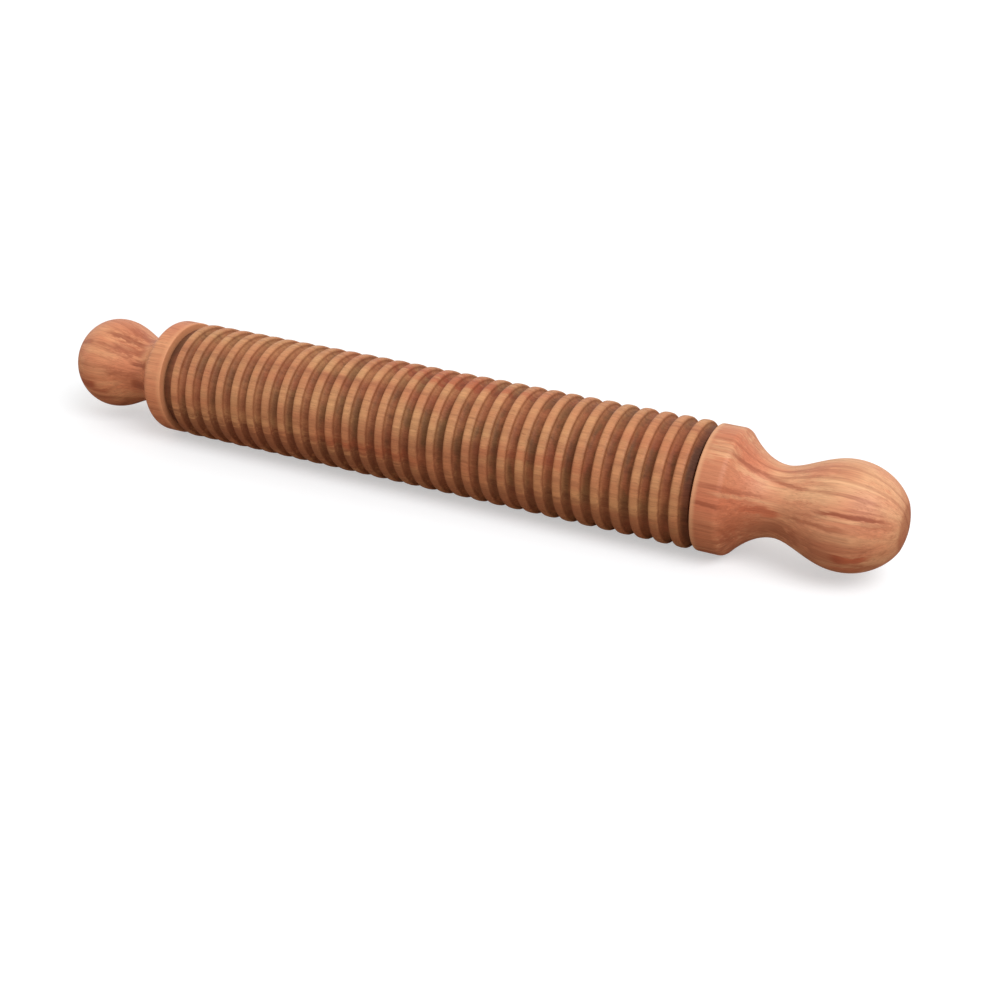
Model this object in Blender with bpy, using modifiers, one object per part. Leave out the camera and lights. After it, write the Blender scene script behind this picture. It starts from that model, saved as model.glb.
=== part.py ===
"""Grooved hardwood rolling pin.

The grooved barrel turns on a steel axle rod. The rod screws into a turned handle at each end, where a brass
insert holds its thread and a thin nut locks it. A nylon bushing at each end of the barrel carries it on the rod,
and a steel washer keeps it off the nut.

Units are metres and +Z is up. The pin lies along X with its axle on the X axis, and the origin is at the middle
of the overall length. Right is +X.
"""

import math

import bpy

MM = 0.001

# The grooved barrel
RIDGE_RADIUS = 20.5 * MM
GROOVE_COUNT = 31
GROOVE_PITCH = 6.5 * MM
GROOVE_DEPTH = 2.2 * MM
CREST_WIDTH = 3.2 * MM
LEFT_END_LAND = 3.2 * MM
RIGHT_END_LAND = 1.8 * MM
BARREL_END_GAP = 0.8 * MM
ROD_CLEARANCE = 1.2 * MM

# The handles: a bell beside the barrel, a cove down to the neck, and a swell up to the knob. The knob's tip follows
# an ellipse, whose half length is given, down to the domed end face
BELL_RELIEF = 0.25 * MM
BELL_FACE_ROUND = 0.5 * MM
BELL_EDGE_ROUND = 3.0 * MM
NECK_RADIUS = 11.4 * MM
COVE_POWER = 2.0
SWELL_LEAD = 0.85
RIGHT_BELL = 8.2 * MM
RIGHT_COVE = 14.55 * MM
RIGHT_SWELL = 20.2 * MM
RIGHT_TIP = 18.6 * MM
RIGHT_KNOB_RADIUS = 17.2 * MM
LEFT_BELL = 6.9 * MM
LEFT_COVE = 11.45 * MM
LEFT_SWELL = 16.7 * MM
LEFT_TIP = 14.5 * MM
LEFT_KNOB_RADIUS = 16.4 * MM
END_FACE_SHARE = 0.45
END_DOME = 1.5 * MM

# The axle rod and what it screws into
ROD_RADIUS = 4.0 * MM
ROD_CHAMFER = 0.8 * MM
ROD_PAST_INSERT = 3.0 * MM
INSERT_WALL = 2.2 * MM
INSERT_LENGTH = 18.0 * MM
INSERT_RIB_HEIGHT = 0.6 * MM
INSERT_RIBS = 4
NUT_ACROSS_FLATS = 13.0 * MM
NUT_THICKNESS = 4.0 * MM
NUT_POCKET_CLEARANCE = 1.0 * MM

# The bearing at each end of the barrel
BUSHING_WALL = 2.0 * MM
BUSHING_LENGTH = 18.0 * MM
FLANGE_REACH = 2.9 * MM
FLANGE_THICKNESS = 2.0 * MM
FLANGE_SINK = 0.4 * MM
WASHER_WIDTH = 3.7 * MM
WASHER_THICKNESS = 1.6 * MM

# Every piece keeps this gap to the one it is seated in or rests against
SEAT_GAP = 0.3 * MM

# Round surfaces have flat facets, and each radius is the distance out to the middle of a facet
FACETS = 32
HALF_FACET = math.pi / FACETS
BELL_EDGE_POINTS = 3
COVE_POINTS = 6
SWELL_POINTS = 9
TIP_POINTS = 5
DOME_POINTS = 3
GROOVE_POINTS = 3
SMOOTH_ANGLE = math.radians(40)
MERGE_DISTANCE = 0.00001
SOLVE_ROUNDS = 12
CUTTER_OVERRUN = 2.0 * MM

# Places along the axle, worked out from the sizes above. An end land runs from the middle of the last groove to
# the bell face beside it, and the barrel is centred between the two bell faces
GROOVE_RUN = (GROOVE_COUNT - 1) * GROOVE_PITCH
BELL_SPACING = LEFT_END_LAND + GROOVE_RUN + RIGHT_END_LAND
TIP_SWEEP = math.acos(END_FACE_SHARE)
LEFT_REACH = LEFT_BELL + LEFT_COVE + LEFT_SWELL + LEFT_TIP * math.sin(TIP_SWEEP) + END_DOME
RIGHT_REACH = RIGHT_BELL + RIGHT_COVE + RIGHT_SWELL + RIGHT_TIP * math.sin(TIP_SWEEP) + END_DOME
BARREL_CENTRE = (LEFT_REACH - RIGHT_REACH) / 2
FIRST_GROOVE = LEFT_END_LAND - BELL_SPACING / 2
BORE_RADIUS = ROD_RADIUS + SEAT_GAP
FLOOR_RADIUS = RIDGE_RADIUS - GROOVE_DEPTH
BELL_RADIUS = RIDGE_RADIUS - BELL_RELIEF

# Distances outwards from a handle's bell face, negative inside the barrel
BARREL_END = -BARREL_END_GAP
FLANGE_FACE = BARREL_END - FLANGE_SINK
WASHER_START = FLANGE_FACE + SEAT_GAP
WASHER_END = WASHER_START + WASHER_THICKNESS
NUT_START = WASHER_END + SEAT_GAP
NUT_END = NUT_START + NUT_THICKNESS
POCKET_DEPTH = NUT_END + SEAT_GAP
INSERT_END = POCKET_DEPTH + INSERT_LENGTH
ROD_END = INSERT_END + ROD_PAST_INSERT

# Radii of what is nested round the rod
SLEEVE_RADIUS = BORE_RADIUS + BUSHING_WALL
FLANGE_RADIUS = SLEEVE_RADIUS + FLANGE_REACH
WASHER_RADIUS = BORE_RADIUS + WASHER_WIDTH
INSERT_RADIUS = BORE_RADIUS + INSERT_WALL
NUT_CORNER_RADIUS = NUT_ACROSS_FLATS / 2 / math.cos(math.pi / 6)
POCKET_RADIUS = max(NUT_CORNER_RADIUS, WASHER_RADIUS) + NUT_POCKET_CLEARANCE

# Each end of the pin: its name, the way it faces along X, and its handle's own sizes
SIDES = (
    ("left", -1, LEFT_BELL, LEFT_COVE, LEFT_SWELL, LEFT_TIP, LEFT_KNOB_RADIUS),
    ("right", 1, RIGHT_BELL, RIGHT_COVE, RIGHT_SWELL, RIGHT_TIP, RIGHT_KNOB_RADIUS),
)


def clear_scene():
    for item in list(bpy.data.objects):
        bpy.data.objects.remove(item)


def make_collection(name):
    collection = bpy.data.collections.new(name)
    bpy.context.scene.collection.children.link(collection)
    return collection


def make_material(name, colour, roughness, metallic=0.0):
    material = bpy.data.materials.new(name)
    material.use_nodes = True
    surface = material.node_tree.nodes["Principled BSDF"]
    surface.inputs["Base Color"].default_value = (*colour, 1.0)
    surface.inputs["Roughness"].default_value = roughness
    surface.inputs["Metallic"].default_value = metallic
    material.diffuse_color = (*colour, 1.0)
    return material


def make_empty(name, x):
    empty = bpy.data.objects.new(name, None)
    empty.location = (x, 0.0, 0.0)
    bpy.context.scene.collection.objects.link(empty)
    return empty


def place(item, collection, parent, x, material=None):
    """Puts an object in its collection at x on the axle line, under its parent empty."""
    for old in list(item.users_collection):
        old.objects.unlink(item)
    collection.objects.link(item)
    item.parent = parent
    item.location = (x - parent.location.x, 0.0, 0.0)
    if material is not None:
        item.data.materials.clear()
        item.data.materials.append(material)


def apply_modifiers(item):
    bpy.context.view_layer.objects.active = item
    for modifier in list(item.modifiers):
        bpy.ops.object.modifier_apply(modifier=modifier.name)


def turned(name, outline, facing=1, closed=True):
    """A piece turned on a lathe. Its outline is (distance, radius) pairs, clockwise with distance to the right.

    A piece that faces -X is mirrored. The outline is drawn on an edge of the lowest facet, half a facet round from
    straight down, so that the facet lies level underneath.
    """
    points = [(facing * x, r * math.tan(HALF_FACET), -r) for x, r in outline]
    if facing > 0:
        points.reverse()
    edges = [(i, i + 1) for i in range(len(points) - 1)]
    if closed:
        edges.append((len(points) - 1, 0))
    mesh = bpy.data.meshes.new(name)
    mesh.from_pydata(points, edges, [])
    item = bpy.data.objects.new(name, mesh)
    bpy.context.scene.collection.objects.link(item)
    screw = item.modifiers.new("Turn", "SCREW")
    screw.axis = "X"
    screw.steps = FACETS
    screw.render_steps = FACETS
    screw.use_merge_vertices = True
    screw.merge_threshold = MERGE_DISTANCE
    apply_modifiers(item)
    item.data.shade_smooth()
    item.data.set_sharp_from_angle(angle=SMOOTH_ANGLE)
    return item


def round_over(x, r, radius, from_angle, sweep=math.pi / 2, steps=2):
    """Points on a rounded corner centred at (x, r), clockwise from from_angle through the sweep."""
    angles = [from_angle - sweep * i / steps for i in range(steps + 1)]
    return [(x + radius * math.cos(a), r + radius * math.sin(a)) for a in angles]


def barrel_outline():
    """The barrel from its left end face, over the grooves, to its right end face and back along the bore."""
    half = BELL_SPACING / 2 + BARREL_END
    flange_pocket = FLANGE_SINK + FLANGE_THICKNESS + SEAT_GAP
    sleeve_pocket = flange_pocket + BUSHING_LENGTH
    pocket_radius = FLANGE_RADIUS + SEAT_GAP
    sleeve_radius = SLEEVE_RADIUS + SEAT_GAP
    through_radius = ROD_RADIUS + ROD_CLEARANCE
    groove_half = (GROOVE_PITCH - CREST_WIDTH) / 2
    points = [(-half, pocket_radius), (-half, FLOOR_RADIUS)]
    for i in range(GROOVE_COUNT):
        middle = FIRST_GROOVE + i * GROOVE_PITCH
        for step in range(GROOVE_POINTS + 2):
            turn = math.pi * step / (GROOVE_POINTS + 1)
            x = middle - groove_half * math.cos(turn)
            outside_first = i == 0 and x < middle - MERGE_DISTANCE
            outside_last = i == GROOVE_COUNT - 1 and x > middle + MERGE_DISTANCE
            if not outside_first and not outside_last:
                points.append((x, RIDGE_RADIUS - GROOVE_DEPTH * math.sin(turn)))
    points += [(half, FLOOR_RADIUS), (half, pocket_radius)]
    bore = [
        (half - flange_pocket, pocket_radius),
        (half - flange_pocket, sleeve_radius),
        (half - sleeve_pocket, sleeve_radius),
        (half - sleeve_pocket, through_radius),
    ]
    points += bore
    points += [(-x, r) for x, r in reversed(bore)]
    return points


def cove_start(rise, cove):
    """The share of the cove left where the bell's rounded edge runs smoothly into it, and the cove's lean there."""
    left = 1.0
    for _ in range(SOLVE_ROUNDS):
        lean = math.atan(COVE_POWER * rise / cove * left ** (COVE_POWER - 1))
        left = (1 - BELL_EDGE_ROUND * (1 - math.cos(lean)) / rise) ** (1 / COVE_POWER)
    return left, lean


def handle_outline(bell, cove, swell, tip, knob_radius):
    """A handle from the back of its blind bore, out to the bell face, and over the bell and neck to the tip."""
    insert_bore = INSERT_RADIUS + SEAT_GAP
    neck_at = bell + cove
    knob_at = neck_at + swell
    points = [
        (ROD_END + SEAT_GAP, 0.0),
        (ROD_END + SEAT_GAP, BORE_RADIUS),
        (INSERT_END + SEAT_GAP, BORE_RADIUS),
        (INSERT_END + SEAT_GAP, insert_bore),
        (POCKET_DEPTH, insert_bore),
        (POCKET_DEPTH, POCKET_RADIUS),
        (0.0, POCKET_RADIUS),
    ]
    face_round = BELL_RADIUS - BELL_FACE_ROUND
    points += round_over(BELL_FACE_ROUND, face_round, BELL_FACE_ROUND, math.pi)
    rise = BELL_RADIUS - NECK_RADIUS
    shown, lean = cove_start(rise, cove)
    edge_at = neck_at - cove * shown - BELL_EDGE_ROUND * math.sin(lean)
    edge_radius = BELL_RADIUS - BELL_EDGE_ROUND
    points += round_over(edge_at, edge_radius, BELL_EDGE_ROUND, math.pi / 2, lean, BELL_EDGE_POINTS)
    for step in range(1, COVE_POINTS):
        left = shown * (1 - step / COVE_POINTS)
        points.append((neck_at - cove * left, NECK_RADIUS + rise * left**COVE_POWER))
    for step in range(SWELL_POINTS):
        along = step / SWELL_POINTS
        grown = (1 - math.cos(math.pi * along**SWELL_LEAD)) / 2
        points.append((neck_at + swell * along, NECK_RADIUS + (knob_radius - NECK_RADIUS) * grown))
    for step in range(TIP_POINTS):
        turn = TIP_SWEEP * step / TIP_POINTS
        points.append((knob_at + tip * math.sin(turn), knob_radius * math.cos(turn)))
    face_at = knob_at + tip * math.sin(TIP_SWEEP)
    for step in range(DOME_POINTS + 1):
        left = 1 - step / DOME_POINTS
        points.append((face_at + END_DOME * (1 - left**2), knob_radius * END_FACE_SHARE * left))
    return points


def rod_outline(half_length):
    return [
        (-half_length, 0.0),
        (-half_length, ROD_RADIUS - ROD_CHAMFER),
        (-half_length + ROD_CHAMFER, ROD_RADIUS),
        (half_length - ROD_CHAMFER, ROD_RADIUS),
        (half_length, ROD_RADIUS - ROD_CHAMFER),
        (half_length, 0.0),
    ]


def bushing_outline():
    """A flanged sleeve. The flange is nearest the handle."""
    flange_back = FLANGE_FACE - FLANGE_THICKNESS
    sleeve_start = flange_back - BUSHING_LENGTH + SEAT_GAP
    return [
        (sleeve_start, BORE_RADIUS),
        (sleeve_start, SLEEVE_RADIUS),
        (flange_back, SLEEVE_RADIUS),
        (flange_back, FLANGE_RADIUS),
        (FLANGE_FACE, FLANGE_RADIUS),
        (FLANGE_FACE, BORE_RADIUS),
    ]


def washer_outline():
    return [
        (WASHER_START, BORE_RADIUS),
        (WASHER_START, WASHER_RADIUS),
        (WASHER_END, WASHER_RADIUS),
        (WASHER_END, BORE_RADIUS),
    ]


def insert_outline():
    """A threaded insert with low ribs that bite into the handle's bore."""
    points = [(POCKET_DEPTH, BORE_RADIUS)]
    spacing = INSERT_LENGTH / INSERT_RIBS
    valley = INSERT_RADIUS - INSERT_RIB_HEIGHT
    for rib in range(INSERT_RIBS):
        start = POCKET_DEPTH + rib * spacing
        points.append((start, valley))
        points.append((start + spacing * 0.25, INSERT_RADIUS))
        points.append((start + spacing * 0.75, INSERT_RADIUS))
    points.append((INSERT_END, valley))
    points.append((INSERT_END, BORE_RADIUS))
    return points


def make_nut(name, cutters, parent, x):
    """A thin hexagon nut, bored to clear the rod's thread."""
    quarter_turn = (0.0, math.pi / 2, 0.0)
    bpy.ops.mesh.primitive_cylinder_add(
        vertices=6, radius=NUT_CORNER_RADIUS, depth=NUT_THICKNESS, rotation=quarter_turn
    )
    nut = bpy.context.object
    nut.name = name
    nut.data.name = name
    bpy.ops.mesh.primitive_cylinder_add(
        vertices=FACETS,
        radius=BORE_RADIUS / math.cos(HALF_FACET),
        depth=NUT_THICKNESS + CUTTER_OVERRUN,
        rotation=quarter_turn,
    )
    cutter = bpy.context.object
    cutter.name = name + "_bore_cutter"
    cutter.hide_render = True
    cutter.display_type = "WIRE"
    place(cutter, cutters, parent, x)
    bore = nut.modifiers.new("Bore", "BOOLEAN")
    bore.operation = "DIFFERENCE"
    bore.object = cutter
    return nut


def main():
    clear_scene()
    parts = make_collection("Rolling pin")
    cutters = make_collection("Cutters")

    barrel_wood = make_material("Barrel hardwood", (0.40, 0.17, 0.09), 0.55)
    handle_wood = make_material("Handle hardwood", (0.50, 0.21, 0.11), 0.45)
    rod_steel = make_material("Rod steel", (0.56, 0.57, 0.58), 0.30, 1.0)
    zinc_steel = make_material("Zinc-plated steel", (0.62, 0.63, 0.66), 0.38, 1.0)
    brass = make_material("Brass", (0.72, 0.52, 0.24), 0.32, 1.0)
    nylon = make_material("White nylon", (0.80, 0.79, 0.74), 0.50)

    held = make_empty("Held still", BARREL_CENTRE)
    turning = make_empty("Turns on the axle", BARREL_CENTRE)

    place(turned("grooved_barrel", barrel_outline()), parts, turning, BARREL_CENTRE, barrel_wood)
    rod = turned("axle_rod", rod_outline(BELL_SPACING / 2 + ROD_END), closed=False)
    place(rod, parts, held, BARREL_CENTRE, rod_steel)

    for side, facing, bell, cove, swell, tip, knob_radius in SIDES:
        bell_face = BARREL_CENTRE + facing * BELL_SPACING / 2
        outline = handle_outline(bell, cove, swell, tip, knob_radius)
        handle = turned("handle_" + side, outline, facing, closed=False)
        place(handle, parts, held, bell_face, handle_wood)
        insert = turned("threaded_insert_" + side, insert_outline(), facing)
        place(insert, parts, held, bell_face, brass)
        nut_middle = bell_face + facing * (NUT_START + NUT_END) / 2
        nut = make_nut("lock_nut_" + side, cutters, held, nut_middle)
        place(nut, parts, held, nut_middle, zinc_steel)
        washer = turned("thrust_washer_" + side, washer_outline(), facing)
        place(washer, parts, held, bell_face, zinc_steel)
        bushing = turned("bushing_" + side, bushing_outline(), facing)
        place(bushing, parts, turning, bell_face, nylon)


main()
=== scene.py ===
"""The looks of a grooved hardwood rolling pin.

The pin lies along X with its axle on the X axis, and +X is the right, nearer handle. Every turned piece is
drawn as an outline, a chain of edges on the underside, and spun about the axle. The wood's figure, pores,
tool marks and the darker tone down in the grooves, partly soil and partly painted shade, are worked out
from each piece's own coordinates. Some streaks, the barrel's end gaps and the bell rims carry painted light
and shade.
"""

import math
import random

import bpy
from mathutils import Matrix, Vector


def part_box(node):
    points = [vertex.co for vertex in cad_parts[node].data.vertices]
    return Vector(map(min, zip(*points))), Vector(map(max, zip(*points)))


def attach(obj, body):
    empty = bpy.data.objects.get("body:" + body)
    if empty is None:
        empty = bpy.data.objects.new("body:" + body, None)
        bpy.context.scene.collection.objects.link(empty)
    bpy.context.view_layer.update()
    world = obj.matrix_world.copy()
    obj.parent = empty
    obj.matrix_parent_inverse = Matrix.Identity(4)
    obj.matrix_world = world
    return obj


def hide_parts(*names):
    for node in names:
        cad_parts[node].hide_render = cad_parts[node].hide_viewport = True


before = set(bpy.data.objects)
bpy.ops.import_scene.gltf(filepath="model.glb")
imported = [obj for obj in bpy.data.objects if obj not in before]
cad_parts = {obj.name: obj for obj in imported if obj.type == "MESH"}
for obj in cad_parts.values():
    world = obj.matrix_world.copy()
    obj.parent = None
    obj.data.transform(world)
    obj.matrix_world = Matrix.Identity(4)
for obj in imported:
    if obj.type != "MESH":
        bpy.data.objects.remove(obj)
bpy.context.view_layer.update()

MM = 0.001
SIDES = {"left": -1, "right": 1}

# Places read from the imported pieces
barrel_low, barrel_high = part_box("grooved_barrel")
rod_low, rod_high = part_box("axle_rod")
BARREL_MIDDLE = (barrel_low.x + barrel_high.x) / 2
BARREL_END = (barrel_high.x - barrel_low.x) / 2
RIDGE_RADIUS = barrel_high.z
TABLE_HEIGHT = barrel_low.z
ROD_HALF = (rod_high.x - rod_low.x) / 2

# The barrel's ridges and grooves
GROOVE_COUNT = 31
GROOVE_PITCH = 6.5 * MM
GROOVE_DEPTH = 2.2 * MM
CREST_WIDTH = 3.2 * MM
ARRIS_ROUND = 0.8 * MM
CREST_CROWN = 0.06 * MM
PLACE_WANDER = 0.10 * MM
DEPTH_WANDER = 0.15 * MM
LEFT_END_LAND = 3.2 * MM
BARREL_END_GAP = 0.8 * MM
END_ROUND = 0.4 * MM
BARREL_SEED = 4
FLOOR_RADIUS = RIDGE_RADIUS - GROOVE_DEPTH
BELL_FACE = BARREL_END + BARREL_END_GAP
FIRST_GROOVE = BARREL_MIDDLE - BELL_FACE + LEFT_END_LAND

# The turned handles
BELL_RADIUS = RIDGE_RADIUS - 0.25 * MM
BELL_FACE_ROUND = 0.5 * MM
BELL_EDGE_ROUND = 3.0 * MM
NECK_RADIUS = 11.4 * MM
COVE_POWER = 2.0
SWELL_LEAD = 0.85
END_FACE_SHARE = 0.45
END_DOME = 1.5 * MM
TIP_SWEEP = math.acos(END_FACE_SHARE)

# The turning tool leaves a faint ripple, a few waves of different pace that die out towards the tip
RIPPLE_DEPTH = 0.03 * MM
RIPPLE_WAVES = 4
RIPPLE_PACE = (0.25 / MM, 0.9 / MM)
RIPPLE_PHASE = (0, 6.3)
RIPPLE_FADE = 4 * MM

HANDLES = {
    "right": {
        "bell": 8.2 * MM,
        "cove": 14.55 * MM,
        "swell": 20.2 * MM,
        "tip": 18.6 * MM,
        "knob": 17.2 * MM,
        "seed": 5,
    },
    "left": {
        "bell": 6.9 * MM,
        "cove": 11.45 * MM,
        "swell": 16.7 * MM,
        "tip": 14.5 * MM,
        "knob": 16.4 * MM,
        "seed": 4,
    },
}

# The bores and pockets, and the hardware inside them
ROD_RADIUS = 4.0 * MM
ROD_CHAMFER = 0.8 * MM
BORE_RADIUS = 4.3 * MM
THROUGH_RADIUS = 5.2 * MM
SLEEVE_RADIUS = 6.3 * MM
FLANGE_RADIUS = 9.2 * MM
FLANGE_THICKNESS = 2.0 * MM
FLANGE_SINK = 0.4 * MM
SLEEVE_LENGTH = 18.0 * MM
SEAT_GAP = 0.3 * MM
WASHER_RADIUS = 8.0 * MM
POCKET_RADIUS = 9.0 * MM
INSERT_RADIUS = 6.5 * MM
INSERT_RIBS = 4
INSERT_RIB_HEIGHT = 0.6 * MM
INSERT_RIB_SHARES = (0.22, 0.4, 0.6, 0.78)
INSERT_RIB_FOOT = 0.97
KNURL_HEIGHT = 0.12 * MM
NUT_ACROSS_FLATS = 13.0 * MM
NUT_CHAMFER = 0.7 * MM
NUT_FACE_SHARE = 0.97
NUT_SINK = 0.5 * MM
THREAD_PITCH = 1.25 * MM
THREAD_DEPTH = 0.65 * MM
THREAD_STEPS = 6

# How finely outlines are drawn and spun
WOOD_SEGMENTS = 128
METAL_SEGMENTS = 64
GROOVE_STEPS = 10
ARRIS_STEPS = 5
SMALL_ROUND_STEPS = 4
FLANGE_ROUND_STEPS = 3
BELL_EDGE_STEPS = 10
COVE_STEPS = 26
SWELL_STEPS = 32
TIP_STEPS = 20
DOME_STEPS = 8
SOLVE_ROUNDS = 12
MERGE_DISTANCE = 0.002 * MM
TURNED_SMOOTH_ANGLE = math.radians(50)
NUT_SMOOTH_ANGLE = math.radians(25)


# Drawing and spinning outlines

def deselect_all():
    if bpy.context.object is not None and bpy.context.object.mode != "OBJECT":
        bpy.ops.object.mode_set(mode="OBJECT")
    bpy.ops.object.select_all(action="DESELECT")


def draw_outline(name, points):
    """A chain of edges through the (distance, radius) points below the axle, left open in edit mode."""
    deselect_all()
    bpy.ops.mesh.primitive_plane_add(size=1 * MM)
    piece = bpy.context.object
    piece.name = name
    piece.data.name = name
    bpy.ops.object.mode_set(mode="EDIT")
    bpy.ops.mesh.select_mode(type="VERT")
    bpy.ops.mesh.select_all(action="SELECT")
    bpy.ops.mesh.merge(type="CENTER")
    x, r = points[0]
    bpy.ops.transform.translate(value=(x, 0, -r))
    for next_x, next_r in points[1:]:
        step = (next_x - x, 0, r - next_r)
        bpy.ops.mesh.extrude_vertices_move(TRANSFORM_OT_translate={"value": step})
        x, r = next_x, next_r
    return piece


def turn(name, points, segments):
    """Draws an outline and spins it a full turn about the axle, with its seam and poles closed."""
    piece = draw_outline(name, points)
    bpy.ops.mesh.select_all(action="SELECT")
    bpy.ops.mesh.spin(steps=segments, angle=2 * math.pi, center=(0, 0, 0), axis=(1, 0, 0))
    bpy.ops.mesh.select_all(action="SELECT")
    bpy.ops.mesh.remove_doubles(threshold=MERGE_DISTANCE)
    bpy.ops.mesh.normals_make_consistent(inside=False)
    bpy.ops.object.mode_set(mode="OBJECT")
    bpy.ops.object.shade_smooth_by_angle(angle=TURNED_SMOOTH_ANGLE)
    return piece


def arc(x, r, radius, start, end, steps):
    """Points on an arc about (x, r). Its angles are in degrees, anticlockwise from straight along +X."""
    angles = [math.radians(start + (end - start) * i / steps) for i in range(steps + 1)]
    return [(x + radius * math.cos(a), r + radius * math.sin(a)) for a in angles]


def on_side(side, points):
    """Moves an outline, given outwards from the bell face, to its place at one end of the pin."""
    return [(BARREL_MIDDLE + SIDES[side] * (BELL_FACE + x), r) for x, r in points]


def finish_piece(piece, node, body, material):
    piece.data.materials.clear()
    piece.data.materials.append(material)
    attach(piece, body)
    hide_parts(node)
    return piece


# The barrel

def groove_cut(middle, depth, left_top, right_top):
    """One groove between the crests beside it: a round-bottomed cut with a rounded arris on each side."""
    half_width = (GROOVE_PITCH - CREST_WIDTH) / 2
    cut = []
    for i in range(1, GROOVE_STEPS):
        turned = math.pi * i / GROOVE_STEPS
        top = (left_top if turned < math.pi / 2 else right_top) - ARRIS_ROUND
        floor = RIDGE_RADIUS - depth
        cut.append((middle - half_width * math.cos(turned), top - (top - floor) * math.sin(turned)))
    reach = half_width + ARRIS_ROUND
    left = arc(middle - reach, left_top - ARRIS_ROUND, ARRIS_ROUND, 90, 0, ARRIS_STEPS)
    right = arc(middle + reach, right_top - ARRIS_ROUND, ARRIS_ROUND, 180, 90, ARRIS_STEPS)
    return left + cut + right


def barrel_outline():
    """The barrel's left end, its grooves and crowned crests, its right end and the way back along the bore.

    The pitch, the depth and the height of the crests wander a little, as they do on turned work.
    """
    wander = random.Random(BARREL_SEED)
    tops = [RIDGE_RADIUS - CREST_CROWN - wander.uniform(0, CREST_CROWN) for _ in range(GROOVE_COUNT + 1)]
    low, high = BARREL_MIDDLE - BARREL_END, BARREL_MIDDLE + BARREL_END
    outside = []
    for i in range(GROOVE_COUNT):
        middle = FIRST_GROOVE + i * GROOVE_PITCH
        shifted = middle + wander.uniform(-PLACE_WANDER, PLACE_WANDER)
        depth = GROOVE_DEPTH - wander.uniform(0, DEPTH_WANDER)
        cut = groove_cut(shifted, depth, tops[i], tops[i + 1])
        if i == 0:
            cut = [p for p in cut if p[0] > middle]
        if i == GROOVE_COUNT - 1:
            cut = [p for p in cut if p[0] < middle]
        outside += cut
        if i < GROOVE_COUNT - 1:
            outside.append((middle + GROOVE_PITCH / 2, tops[i + 1] + CREST_CROWN))
    left_end = arc(low + END_ROUND, FLOOR_RADIUS - END_ROUND, END_ROUND, 180, 90, SMALL_ROUND_STEPS)
    right_end = arc(high - END_ROUND, FLOOR_RADIUS - END_ROUND, END_ROUND, 90, 0, SMALL_ROUND_STEPS)
    flange_seat = FLANGE_SINK + FLANGE_THICKNESS + SEAT_GAP
    mouth = FLANGE_RADIUS + SEAT_GAP
    bore = [
        (flange_seat, mouth),
        (flange_seat, SLEEVE_RADIUS + SEAT_GAP),
        (flange_seat + SLEEVE_LENGTH, SLEEVE_RADIUS + SEAT_GAP),
        (flange_seat + SLEEVE_LENGTH, THROUGH_RADIUS),
    ]
    points = [(low, mouth)] + left_end + outside + right_end + [(high, mouth)]
    points += [(high - x, r) for x, r in bore]
    points += [(low + x, r) for x, r in reversed(bore)]
    return points + [(low, mouth)]


# The handles

def cove_start(rise, cove):
    """Where the bell's edge runs smoothly into the cove: the share of the cove left, and its lean."""
    left = 1.0
    for _ in range(SOLVE_ROUNDS):
        lean = math.atan(COVE_POWER * rise / cove * left ** (COVE_POWER - 1))
        left = (1 - BELL_EDGE_ROUND * (1 - math.cos(lean)) / rise) ** (1 / COVE_POWER)
    return left, lean


def handle_outline(side):
    """A handle from the end of its bore out to the bell face, and over the bell and the neck to the tip."""
    sizes = HANDLES[side]
    wander = random.Random(sizes["seed"])
    ripple = [(wander.uniform(*RIPPLE_PACE), wander.uniform(*RIPPLE_PHASE)) for _ in range(RIPPLE_WAVES)]
    insert_low, insert_high = sorted(abs(x - BARREL_MIDDLE) - BELL_FACE for x in insert_reach(side))
    bore_end = ROD_HALF - BELL_FACE + SEAT_GAP
    insert_bore = INSERT_RADIUS + SEAT_GAP
    rise = BELL_RADIUS - NECK_RADIUS
    neck = sizes["bell"] + sizes["cove"]
    shown, lean = cove_start(rise, sizes["cove"])
    edge = neck - sizes["cove"] * shown - BELL_EDGE_ROUND * math.sin(lean)
    knob = neck + sizes["swell"]
    points = [
        (bore_end, 0.0),
        (bore_end, BORE_RADIUS),
        (insert_high + SEAT_GAP, BORE_RADIUS),
        (insert_high + SEAT_GAP, insert_bore),
        (insert_low, insert_bore),
        (insert_low, POCKET_RADIUS),
        (0.0, POCKET_RADIUS),
    ]
    face_round = BELL_RADIUS - BELL_FACE_ROUND
    points += arc(BELL_FACE_ROUND, face_round, BELL_FACE_ROUND, 180, 90, SMALL_ROUND_STEPS)
    edge_round = BELL_RADIUS - BELL_EDGE_ROUND
    shape = arc(edge, edge_round, BELL_EDGE_ROUND, 90, 90 - math.degrees(lean), BELL_EDGE_STEPS)
    for i in range(1, COVE_STEPS):
        left = shown * (1 - i / COVE_STEPS)
        shape.append((neck - sizes["cove"] * left, NECK_RADIUS + rise * left**COVE_POWER))
    for i in range(SWELL_STEPS):
        along = i / SWELL_STEPS
        grown = (1 - math.cos(math.pi * along**SWELL_LEAD)) / 2
        radius = NECK_RADIUS + (sizes["knob"] - NECK_RADIUS) * grown
        shape.append((neck + sizes["swell"] * along, radius))
    for i in range(TIP_STEPS):
        turned = TIP_SWEEP * i / TIP_STEPS
        shape.append((knob + sizes["tip"] * math.sin(turned), sizes["knob"] * math.cos(turned)))
    end = knob + sizes["tip"] * math.sin(TIP_SWEEP) + END_DOME
    corner_share = 0.2
    for i in range(DOME_STEPS):
        left = 1 - (i + corner_share) / DOME_STEPS
        shape.append((end - END_DOME * left**2, sizes["knob"] * END_FACE_SHARE * left))
    for x, r in shape:
        wobble = sum(math.sin(pace * x + phase) for pace, phase in ripple) / len(ripple)
        fade = min(1.0, (end - x) / RIPPLE_FADE)
        points.append((x, r - RIPPLE_DEPTH * fade * (1 + wobble) / 2))
    points.append((end, 0.0))
    return on_side(side, points)


def insert_reach(side):
    low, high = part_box("threaded_insert_" + side)
    return low.x, high.x


# The hardware inside

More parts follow.
